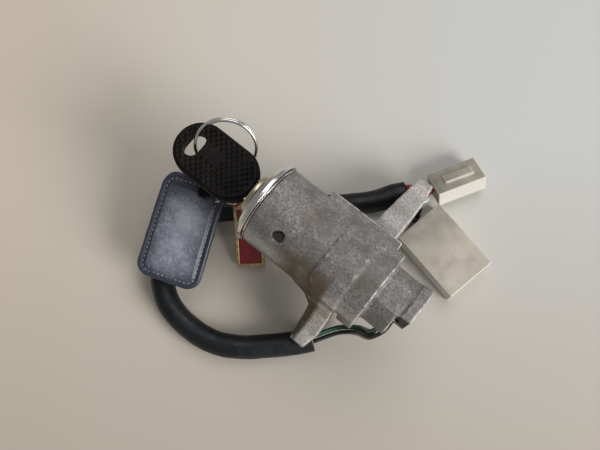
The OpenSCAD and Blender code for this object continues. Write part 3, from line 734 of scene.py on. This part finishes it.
class SWITCH_OT_stage(Operator):
    """Floor, soft light and the camera"""

    bl_idname = "switch.stage"
    bl_label = "Stage"

    # Middle of the picture on the table, in millimetres, and half the floor's side, in metres
    TARGET = (-32.1, -1.9, TABLE_Z)
    FLOOR_HALF = 1.5
    # Name, then metres to the picture's right, towards its top and up, size in metres and power
    LAMPS = (("window", 1.55, -1.1, 1.05, 1.2, 46.0), ("sky", 0.2, 0.6, 1.2, 1.0, 5.5))
    WORLD, WORLD_STRENGTH = (0.98, 0.99, 1, 1), 0.22

    def execute(self, context):
        scene, stage = context.scene, context.scene.switch_stage
        scene.view_settings.view_transform = "Standard"
        target = mm(*self.TARGET)
        back = Vector((math.sin(stage.azimuth) * math.cos(stage.elevation),
                       -math.cos(stage.azimuth) * math.cos(stage.elevation), math.sin(stage.elevation)))
        camera = bpy.data.objects.new("camera", bpy.data.cameras.new("camera"))
        camera.data.lens = stage.lens
        camera.data.clip_start = 0.005
        camera.location = target + back * stage.distance
        camera.rotation_euler = back.to_track_quat("Z", "Y").to_euler()
        scene.collection.objects.link(camera)
        scene.camera = camera
        self.floor(context, target)
        self.lamps(scene, target, stage)
        return {"FINISHED"}

    def floor(self, context, target):
        bm = bmesh.new()
        bmesh.ops.create_grid(bm, x_segments=8, y_segments=8, size=self.FLOOR_HALF)
        bmesh.ops.translate(bm, verts=bm.verts, vec=(target.x, target.y, CAD_BOX[0][2]))
        mesh = bpy.data.meshes.new("floor")
        bm.to_mesh(mesh)
        bm.free()
        f = Finish("table_top", Roughness=0.55)
        colours = context.scene.switch_colours
        aligned = f.node("ShaderNodeMapping")
        aligned.inputs["Rotation"].default_value = (0, 0, -context.scene.switch_stage.azimuth)
        f.link(f.place, aligned.inputs["Vector"])
        f.place = aligned.outputs["Vector"]
        # Painted light on the table top: warm on the left, cool grey on the right, and painted shade
        # towards the bottom of the view
        tone = f.mix(f.axis("X", -150, 60), colours.floor, colours.floor_right)
        f.colour(f.mix(f.axis("Y", 60, -110), tone, scaled(colours.floor, 0.72)))
        f.bump(f.noise(4, 2), 0.02, 0.3)
        mesh.materials.append(f.material)
        obj = bpy.data.objects.new("floor", mesh)
        context.collection.objects.link(obj)

    def lamps(self, scene, target, stage):
        world = bpy.data.worlds.new("studio")
        world.use_nodes = True
        background = world.node_tree.nodes["Background"]
        background.inputs["Color"].default_value = self.WORLD
        background.inputs["Strength"].default_value = self.WORLD_STRENGTH
        scene.world = world
        right = Vector((math.cos(stage.azimuth), math.sin(stage.azimuth), 0))
        away = Vector((-math.sin(stage.azimuth), math.cos(stage.azimuth), 0))
        for name, side, up, height, size, power in self.LAMPS:
            lamp = bpy.data.objects.new(name, bpy.data.lights.new(name, "AREA"))
            lamp.data.size = size
            lamp.data.energy = power
            offset = right * side + away * up + Vector((0, 0, height))
            lamp.location = target + offset
            lamp.rotation_euler = offset.to_track_quat("Z", "Y").to_euler()
            scene.collection.objects.link(lamp)


class SWITCH_OT_harness(Operator):
    """Sleeve and wires"""

    bl_idname = "switch.harness"
    bl_label = "Harness"

    # The sleeve's wall, and what its rough skin needs inside its radius
    WALL, SKIN = 0.9, 0.06
    # Points between the route's own, and the gap between the switch wires
    STEPS, WIRE_GAP = 6, 0.2
    # Each switch wire's side, height and covering in the bundle
    BUNDLE = ((-1, -1, "wire_white"), (-1, 1, "wire_black"), (1, -1, "wire_black"), (1, 1, "wire_green"))

    def execute(self, context):
        plugs = [NODES[n] for n in ("upper_terminals", "lower_terminals")]
        plugs += [bpy.data.objects[n] for n in ("upper_plug", "lower_plug")]
        plugs += self.short_wires()
        route = curve_through([(x, y, WIRE_Z) for x, y in SHEATH_ROUTE], self.STEPS)
        bm = tube_mesh(route, SHEATH_R - self.SKIN, 24, caps=False)
        roughen(bm, 0.22, 6)
        bm = baked(bm, ("SOLIDIFY", {"thickness": mm(self.WALL), "offset": -1.0}))
        sleeve = piece(bm, "sleeve", ROOT, finish("sleeve_pvc"))
        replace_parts(sleeve, "harness_sheath")
        self.switch_wires()
        return {"FINISHED"}

    def switch_wires(self):
        """Four wires from the switch down to the sleeve, side by side."""
        step = WIRE_R + self.WIRE_GAP
        middle = curve_through(SWITCH_ROUTE, self.STEPS)
        for i, (side, up, cover) in enumerate(self.BUNDLE):
            route = shifted(middle, side * step, up * step)
            bm = tube_mesh(route, WIRE_R, 12)
            wire = piece(bm, f"switch_wire_{i}", ROOT, finish(cover))
            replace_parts(wire, "switch_wires")

    def short_wires(self):
        """The wires between the sleeve's far end and the plugs, from the CAD's own solids."""
        made = []
        for node, colour in (("upper_wires", "wire_red"), ("lower_wires", "wire_black")):
            wires = piece(node_copy(node), node + "_cover", ROOT, finish(colour))
            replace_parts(wires, node)
            made.append(wires)
        return made


class SWITCH_OT_casting(Operator):
    """Housing with its cast skin, and the pieces in it"""

    bl_idname = "switch.casting"
    bl_label = "Casting"

    # Ridge along the near wing: its y, its height and its x
    RIDGE = ((-45, 6.0, -2.9), (-43, 6.6, -2.8), (-41, 8.0, -2.5), (-37, 10.5, -1.8),
             (-33.5, 15.0, -1.5), (-30.5, 22.0, -1.5), (-28.7, 26.5, -1.5))
    # How far forwards and up the cut in front of the ridge reaches
    DRAFT_X, DRAFT_Z = -16.0, 60.0

    def execute(self, context):
        bm = softened(cut_by(self.draft(), node_copy("lock_housing")), 0.5, 3)
        mark_edges(bm)
        # How far each vertex faces up, for the painted light on the wings' tops
        topside = bm.verts.layers.float.new("topside")
        for v in bm.verts:
            v[topside] = max(v.normal.z, 0.0)
        roughen(bm, context.scene.switch_sizes.casting_grain, 1.1)
        roughen(bm, 0.1, 6)
        housing = piece(bm, "housing", ROOT, finish("cast_zinc"))
        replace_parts(housing, "lock_housing")
        dress("cast_zinc", "cylinder_sleeve")
        dress("rusted_steel", "retaining_pin")
        dress("turned_steel", "cam_shaft", "lock_bolt")
        dress("black_moulding", "switch_base")
        dress("natural_nylon", "contact_rotor")
        dress("dull_brass", "wafers", "contact_bridge", "fixed_contacts", "key_plug")
        return {"FINISHED"}

    def draft(self):
        """What is cut from the near wing's front so that it slopes down from a ridge along the wing."""
        bm = bmesh.new()
        loops = []
        for y, top, ridge in self.RIDGE:
            low = top - (ridge - self.DRAFT_X)
            corners = [(ridge, top), (self.DRAFT_X, low), (self.DRAFT_X, self.DRAFT_Z),
                       (ridge, self.DRAFT_Z)]
            verts = [bm.verts.new(mm(x, y, z)) for x, z in corners]
            loops.append([bm.edges.new((a, b)) for a, b in zip(verts, verts[1:] + verts[:1])])
        for a, b in zip(loops, loops[1:]):
            bmesh.ops.bridge_loops(bm, edges=a + b)
        for end in (loops[0], loops[-1]):
            bmesh.ops.contextual_create(bm, geom=end)
        bmesh.ops.recalc_face_normals(bm, faces=bm.faces)
        return bm


class SWITCH_OT_rings(Operator):
    """Bright ring on the barrel's front and the stepped cap inside it"""

    bl_idname = "switch.rings"
    bl_label = "Front rings"

    # The bezel's profile: x from the barrel's front, and radius
    BEZEL = ((-3.4, 10.2), (-4, 13.7), (-4, 14.7), (-2.6, 15.2), (-2.6, 16.7), (-2.2, 17.1), (-0.7, 17.1),
             (-0.7, 15.5), (0, 15.5), (0, 13.17), (2, 13.17), (2, 10.2))

    def execute(self, context):
        bezel = turned([(FRONT_X + x, r) for x, r in self.BEZEL], 96)
        bezel = bevelled(bezel, 0.2, 2, 25)
        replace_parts(piece(bezel, "bezel", ROOT, finish("bright_nickel")), "front_bezel")
        cap = softened(node_copy("plug_cap"), 0.2, 2)
        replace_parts(piece(cap, "cap", KEY, finish("nickel_silver")), "plug_cap")
        return {"FINISHED"}


class SWITCH_OT_key(Operator):
    """Key blade and its dimpled head"""

    bl_idname = "switch.key"
    bl_label = "Key"

    # The head's ends and half its width, and the plain border round its dimples
    FRONT, BACK, HALF, BORDER = -84.5, -47.5, 11.0, 1.9
    # Plain patches, x from the head's end: an oval round the slot and a rectangle in the middle
    SLOT_X, SLOT_HALF_X, SLOT_HALF_Y = 7.7, 3.6, 5.5
    PATCH_X, PATCH_Y, PATCH_HALF_X, PATCH_HALF_Y = 15.2, 1.2, 4.4, 3.2
    # A row's share of the pitch, and a dimple's radius, also as a share
    ROW, DIMPLE_R = 0.58, 0.3

    def execute(self, context):
        sizes = context.scene.switch_sizes
        bm = softened(node_copy("key_head"), 0.28, 3)
        self.dimple(bm, sizes.dimple_pitch, sizes.dimple_depth)
        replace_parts(piece(bm, "head", KEY, finish("black_moulding")), "key_head")
        dress("nickel_silver", "key_blade")
        return {"FINISHED"}

    def dimple(self, bm, pitch, depth):
        """Presses a staggered field of dimples into both faces."""
        row = pitch * self.ROW
        radius = pitch * self.DIMPLE_R
        for v in bm.verts:
            x, y, z = v.co.x * 1000, v.co.y * 1000 - AXIS_Y, v.co.z * 1000 - AXIS_Z
            if abs(v.normal.z) < 0.8:
                continue
            i = round(y / row)
            lean = 0.5 * pitch * (i % 2)
            cx = round((x - self.FRONT - lean) / pitch) * pitch + self.FRONT + lean
            cy = i * row
            r = math.hypot(x - cx, y - cy) / radius
            if r < 1 and not self.plain(cx, cy):
                v.co.z -= math.copysign(mm(depth) * (1 - r * r), z)
        bm.normal_update()

    def plain(self, x, y):
        """Whether a dimple at a point would meet the edge, the slot or the patch in the middle."""
        end = max(self.FRONT + self.HALF - x, x - (self.BACK - self.HALF), 0.0)
        if math.hypot(end, y) > self.HALF - self.BORDER:
            return True
        if math.hypot((x - self.FRONT - self.SLOT_X) / self.SLOT_HALF_X, y / self.SLOT_HALF_Y) < 1:
            return True
        along = (x - self.FRONT - self.PATCH_X) / self.PATCH_HALF_X
        across = (y - self.PATCH_Y) / self.PATCH_HALF_Y
        return max(abs(along), abs(across)) < 1


class SWITCH_OT_key_ring(Operator):
    """Split ring and the small links on it"""

    bl_idname = "switch.key_ring"
    bl_label = "Key ring"

    # The ring's radius, its wire, and its turn and tilt in degrees where it hangs in the slot
    RING_R, WIRE, TURN, TILT, SLOT_X = 11.8, 0.62, 38, 50, -76.8
    # Its two coils, in degrees: both ends, the stretch where it crosses over, and a step
    START, END, CROSS, CROSS_LENGTH, STEP = 180, 840, 480, 60, 3

    def execute(self, context):
        bm = tube_mesh(self.coils(), self.WIRE, 16)
        ring = piece(bm, "key_ring", KEY, finish("bright_nickel"))
        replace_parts(ring, "split_ring")
        low, high = (Vector(corner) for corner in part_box("fob_link"))
        self.link("fob_link", FOB, Matrix.Translation((low + high) / 2), 4.1, 0.7)
        self.link("tag_link", TAG, FOB_PLACE @ Matrix.Translation(mm(*TAG_LINK)), 4.0, 0.6)
        return {"FINISHED"}

    def coils(self):
        """Points along the ring's wire, which crosses from the lower coil to the upper one."""
        turn, tilt = math.radians(self.TURN), math.radians(self.TILT)
        radius = self.RING_R
        middle = Vector((self.SLOT_X + radius * math.cos(turn), AXIS_Y + radius * math.sin(turn), AXIS_Z))
        spin = Matrix.Rotation(turn, 3, "Z") @ Matrix.Rotation(tilt, 3, "X")
        points = []
        for angle in range(self.START, self.END + 1, self.STEP):
            t = min(max((angle - self.CROSS) / self.CROSS_LENGTH, 0.0), 1.0)
            rise = (2 * t * t * (3 - 2 * t) - 1) * self.WIRE
            a = math.radians(angle)
            points.append(middle + spin @ Vector((radius * math.cos(a), radius * math.sin(a), rise)))
        return points

    def link(self, node, body, place, radius, wire):
        """A round link about the X axis of its place."""
        bm = bmesh.new()
        add_hoop(bm, radius, wire, 16, 48, place @ Matrix.Rotation(math.radians(90), 4, "Y"))
        bm = closed_up(bm)
        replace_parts(piece(bm, node + "_wire", body, finish("bright_nickel")), node)


class SWITCH_OT_fob(Operator):
    """Padded leather fob with its stitching, strap and rivet"""

    bl_idname = "switch.fob"
    bl_label = "Fob"

    # The pad's length, its width at the top, where the shoulders end and at the bottom, and its corners
    LENGTH, NECK, SHOULDER, WIDTH = 45.0, 20.0, 26.4, 28.0
    SHOULDER_X, BOTTOM_R, TOP_R = 4, 6.0, 2.3
    # Insets and rises from the outline to the seam, and from there to the padding
    EDGE = ((0.2, 0.85), (0.45, 0.5), (0.7, 0.2), (0.6, -0.25), (0.35, -0.35), (0.35, 0.05))
    PADDING = ((0.4, 0.5), (0.6, 0.4))
    # Middle and half lengths of the crown
    CROWN_X, CROWN_HALF_X, CROWN_HALF_Y = 24, 19, 10.4
    # The hole for the tag's link, and the lips of its eyelet
    HOLE_R, HOLE_DEPTH = 1.3, 12
    LIP_R, LIP_WIRE, LIP_Z = 1.6, 0.35, 1.35
    # Half a stitch's width and height, its lift from the seam, and how far stitches keep from the eyelet
    STITCH_HALF_Y, STITCH_HALF_Z, STITCH_LIFT, STITCH_CLEAR = 0.3, 0.24, 0.16, 2.6

    def execute(self, context):
        sizes = context.scene.switch_sizes
        seam = []
        bm = self.half(seam)
        bmesh.ops.mirror(bm, geom=bm.verts[:] + bm.edges[:] + bm.faces[:], matrix=Matrix(),
                         merge_dist=mm(0.01), axis="Z")
        bmesh.ops.recalc_face_normals(bm, faces=bm.faces)
        bm = self.pierced(softened(bm, 0.4, 2))
        # The crown's share also places the painted sheen on the leather
        sheened_and_rubbed = bm.verts.layers.float.new("sheened_and_rubbed")
        for v in bm.verts:
            v[sheened_and_rubbed] = self.swell(v.co)
            v.co.z += math.copysign(mm(sizes.crown) * v[sheened_and_rubbed], v.co.z)
        bm.normal_update()
        bm.transform(FOB_PLACE)
        roughen(bm, 0.16, 5)
        body = piece(bm, "fob_pad", FOB, finish("navy_leather"))
        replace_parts(body, "fob_leather")
        self.stitches(seam, sizes)
        strap = softened(node_copy("fob_strap"), 0.3, 3)
        roughen(strap, 0.1, 2)
        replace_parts(piece(strap, "fob_tab", FOB, finish("navy_leather")), "fob_strap")
        rivet = softened(node_copy("fob_rivet"), 0.18, 2)
        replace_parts(piece(rivet, "rivet", FOB, finish("black_moulding")), "fob_rivet")
        return {"FINISHED"}

    def half(self, seam):
        """Upper half of the pad: its outline, rolled edge and sunken seam."""
        bm = bmesh.new()
        near = [(0, -self.NECK / 2), (self.SHOULDER_X, -self.SHOULDER / 2), (self.LENGTH, -self.WIDTH / 2)]
        corners = near + [(x, -y) for x, y in reversed(near)]
        verts = [bm.verts.new(mm(x, y, 0)) for x, y in corners]
        bm.faces.new(verts)
        for group, radius in ((verts[2:4], self.BOTTOM_R), (verts[:2] + verts[4:], self.TOP_R)):
            bmesh.ops.bevel(bm, geom=group, offset=mm(radius), offset_type="OFFSET", segments=8,
                            profile=0.5, affect="VERTICES", material=-1)
        face = bm.faces[:][0]
        self.stepped(bm, face, self.EDGE)
        seam.extend(v.co.copy() for v in face.verts)
        self.stepped(bm, face, self.PADDING)
        return bm

    def stepped(self, bm, face, steps):
        """Insets a face again and again, with a rise for each inset."""
        for inset, rise in steps:
            bmesh.ops.inset_region(bm, faces=[face], thickness=mm(inset), depth=mm(rise),
                                   use_even_offset=True, use_boundary=True)

    def pierced(self, bm):
        """The pad with the hole that the tag's link goes through, and the eyelet round it."""
        punch = bmesh.new()
        bmesh.ops.create_cone(punch, cap_ends=True, segments=32, radius1=mm(self.HOLE_R),
                              radius2=mm(self.HOLE_R), depth=mm(self.HOLE_DEPTH),
                              matrix=Matrix.Translation(mm(*EYELET, 0)))
        bm = cut_by(punch, bm)
        lips = bmesh.new()
        for side in (1, -1):
            at = FOB_PLACE @ Matrix.Translation(mm(*EYELET, side * self.LIP_Z))
            add_hoop(lips, self.LIP_R, self.LIP_WIRE, 12, 32, at)
        piece(closed_up(lips), "fob_eyelet", FOB, finish("bright_nickel"))
        return bm

    def swell(self, co):
        """Share of the padding's crown at a point in the fob's own frame."""
        x, y = co.x * 1000, co.y * 1000
        u = max(0.0, 1 - ((x - self.CROWN_X) / self.CROWN_HALF_X) ** 2)
        w = max(0.0, 1 - (y / self.CROWN_HALF_Y) ** 2)
        return math.sqrt(u * w)

    def stitches(self, seam, sizes):
        """Lays stitches along the seam on both faces, apart from where the eyelet is."""
        stitch = Matrix.Diagonal((mm(sizes.stitch_length / 2), mm(self.STITCH_HALF_Y),
                                  mm(self.STITCH_HALF_Z), 1))
        closed = seam + seam[:1]
        lengths = [0.0]
        for a, b in zip(closed, closed[1:]):
            lengths.append(lengths[-1] + (b - a).length)
        count = round(lengths[-1] / mm(sizes.stitch_pitch))
        bm = bmesh.new()
        k = 0
        for i in range(count):
            along = lengths[-1] * i / count
            while lengths[k + 1] < along:
                k += 1
            a, b = closed[k], closed[k + 1]
            at = a.lerp(b, (along - lengths[k]) / max(lengths[k + 1] - lengths[k], 1e-9))
            run = (b - a).normalized()
            if (at.xy - mm(*EYELET, 0).xy).length < mm(self.STITCH_CLEAR):
                continue
            for side in (1, -1):
                place = (FOB_PLACE @ Matrix.Translation((at.x, at.y, side * (at.z + mm(self.STITCH_LIFT))))
                         @ run.to_track_quat("X", "Z").to_matrix().to_4x4() @ stitch)
                bmesh.ops.create_uvsphere(bm, u_segments=6, v_segments=5, radius=1, matrix=place)
        bmesh.ops.recalc_face_normals(bm, faces=bm.faces)
        piece(bm, "fob_stitching", FOB, finish("pale_thread"))


class SWITCH_OT_tag(Operator):
    """Red tag in its brass frame, with its strap"""

    bl_idname = "switch.tag"
    bl_label = "Tag"

    def execute(self, context):
        rim = edged(node_copy("tag_frame"), 0.3, 2)
        rim = piece(rim, "tag_rim", TAG, finish("dull_brass"), smooth=False)
        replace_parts(rim, "tag_frame")
        fill = edged(node_copy("tag_enamel"), 0.35, 3)
        fill = piece(fill, "tag_fill", TAG, finish("red_enamel"), smooth=False)
        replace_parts(fill, "tag_enamel")
        strap = softened(node_copy("tag_strap"), 0.25, 3)
        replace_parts(piece(strap, "tag_tab", TAG, finish("red_enamel")), "tag_strap")
        return {"FINISHED"}


class SWITCH_OT_plugs(Operator):
    """The nylon plugs and their terminals"""

    bl_idname = "switch.plugs"
    bl_label = "Plugs"

    # CAD node, piece, turn about Z and roll about its length in degrees, and finish
    PLUGS = (("upper_connector", "upper_plug", 60, -24, "pitted_nylon"),
             ("lower_connector", "lower_plug", -11.5, 0, "natural_nylon"))

    def execute(self, context):
        for node, name, turn, roll, surface in self.PLUGS:
            low, high = (Vector(corner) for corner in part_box(node))
            place = (Matrix.Translation((low + high) / 2) @ Matrix.Rotation(math.radians(turn), 4, "Z")
                     @ Matrix.Rotation(math.radians(roll), 4, "X"))
            bm = softened(node_copy(node), 0.3, 2, place)
            mark_edges(bm)
            self.mark_tops(bm, place.inverted())
            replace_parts(piece(bm, name, ROOT, finish(surface)), node)
        dress("dull_brass", "upper_terminals", "lower_terminals")
        return {"FINISHED"}

    def mark_tops(self, bm, inward):
        """Stores on each vertex, from 0 to 1, how far it faces up, for the painted light on the sides, and
        on top how near the wires it is.
        """
        wire_end_share = bm.verts.layers.float.new("wire_end_share")
        facing_up = bm.verts.layers.float.new("facing_up")
        turn = inward.to_3x3()
        along = [(inward @ v.co).x for v in bm.verts]
        low, high = min(along), max(along)
        for v, x in zip(bm.verts, along):
            v[facing_up] = min(max(((turn @ v.normal).z - 0.3) / 0.4, 0.0), 1.0)
            v[wire_end_share] = v[facing_up] * (high - x) / (high - low)


class SWITCH_PT_build(Panel):
    """Lists the settings and the steps"""

    bl_label = "Ignition switch"
    bl_idname = "SWITCH_PT_build"
    bl_space_type = "VIEW_3D"
    bl_region_type = "UI"
    bl_category = "Switch"

    def draw(self, context):
        for group in ("switch_colours", "switch_sizes", "switch_stage"):
            settings = getattr(context.scene, group)
            for name in settings.__annotations__:
                self.layout.prop(settings, name)
        for operator in OPERATORS:
            self.layout.operator(operator.bl_idname)


OPERATORS = (SWITCH_OT_stage, SWITCH_OT_plugs, SWITCH_OT_harness, SWITCH_OT_casting, SWITCH_OT_rings,
             SWITCH_OT_key, SWITCH_OT_key_ring, SWITCH_OT_fob, SWITCH_OT_tag)
CLASSES = (SwitchColours, SwitchSizes, SwitchStage) + OPERATORS + (SWITCH_PT_build,)


def register():
    for cls in CLASSES:
        bpy.utils.register_class(cls)
    bpy.types.Scene.switch_colours = PointerProperty(type=SwitchColours)
    bpy.types.Scene.switch_sizes = PointerProperty(type=SwitchSizes)
    bpy.types.Scene.switch_stage = PointerProperty(type=SwitchStage)


def unregister():
    del bpy.types.Scene.switch_stage
    del bpy.types.Scene.switch_sizes
    del bpy.types.Scene.switch_colours
    for cls in reversed(CLASSES):
        bpy.utils.unregister_class(cls)


def main():
    register()
    bpy.ops.switch.stage()
    bpy.ops.switch.plugs()
    bpy.ops.switch.harness()
    bpy.ops.switch.casting()
    bpy.ops.switch.rings()
    bpy.ops.switch.key()
    bpy.ops.switch.key_ring()
    bpy.ops.switch.fob()
    bpy.ops.switch.tag()


if __name__ == "__main__":
    main()
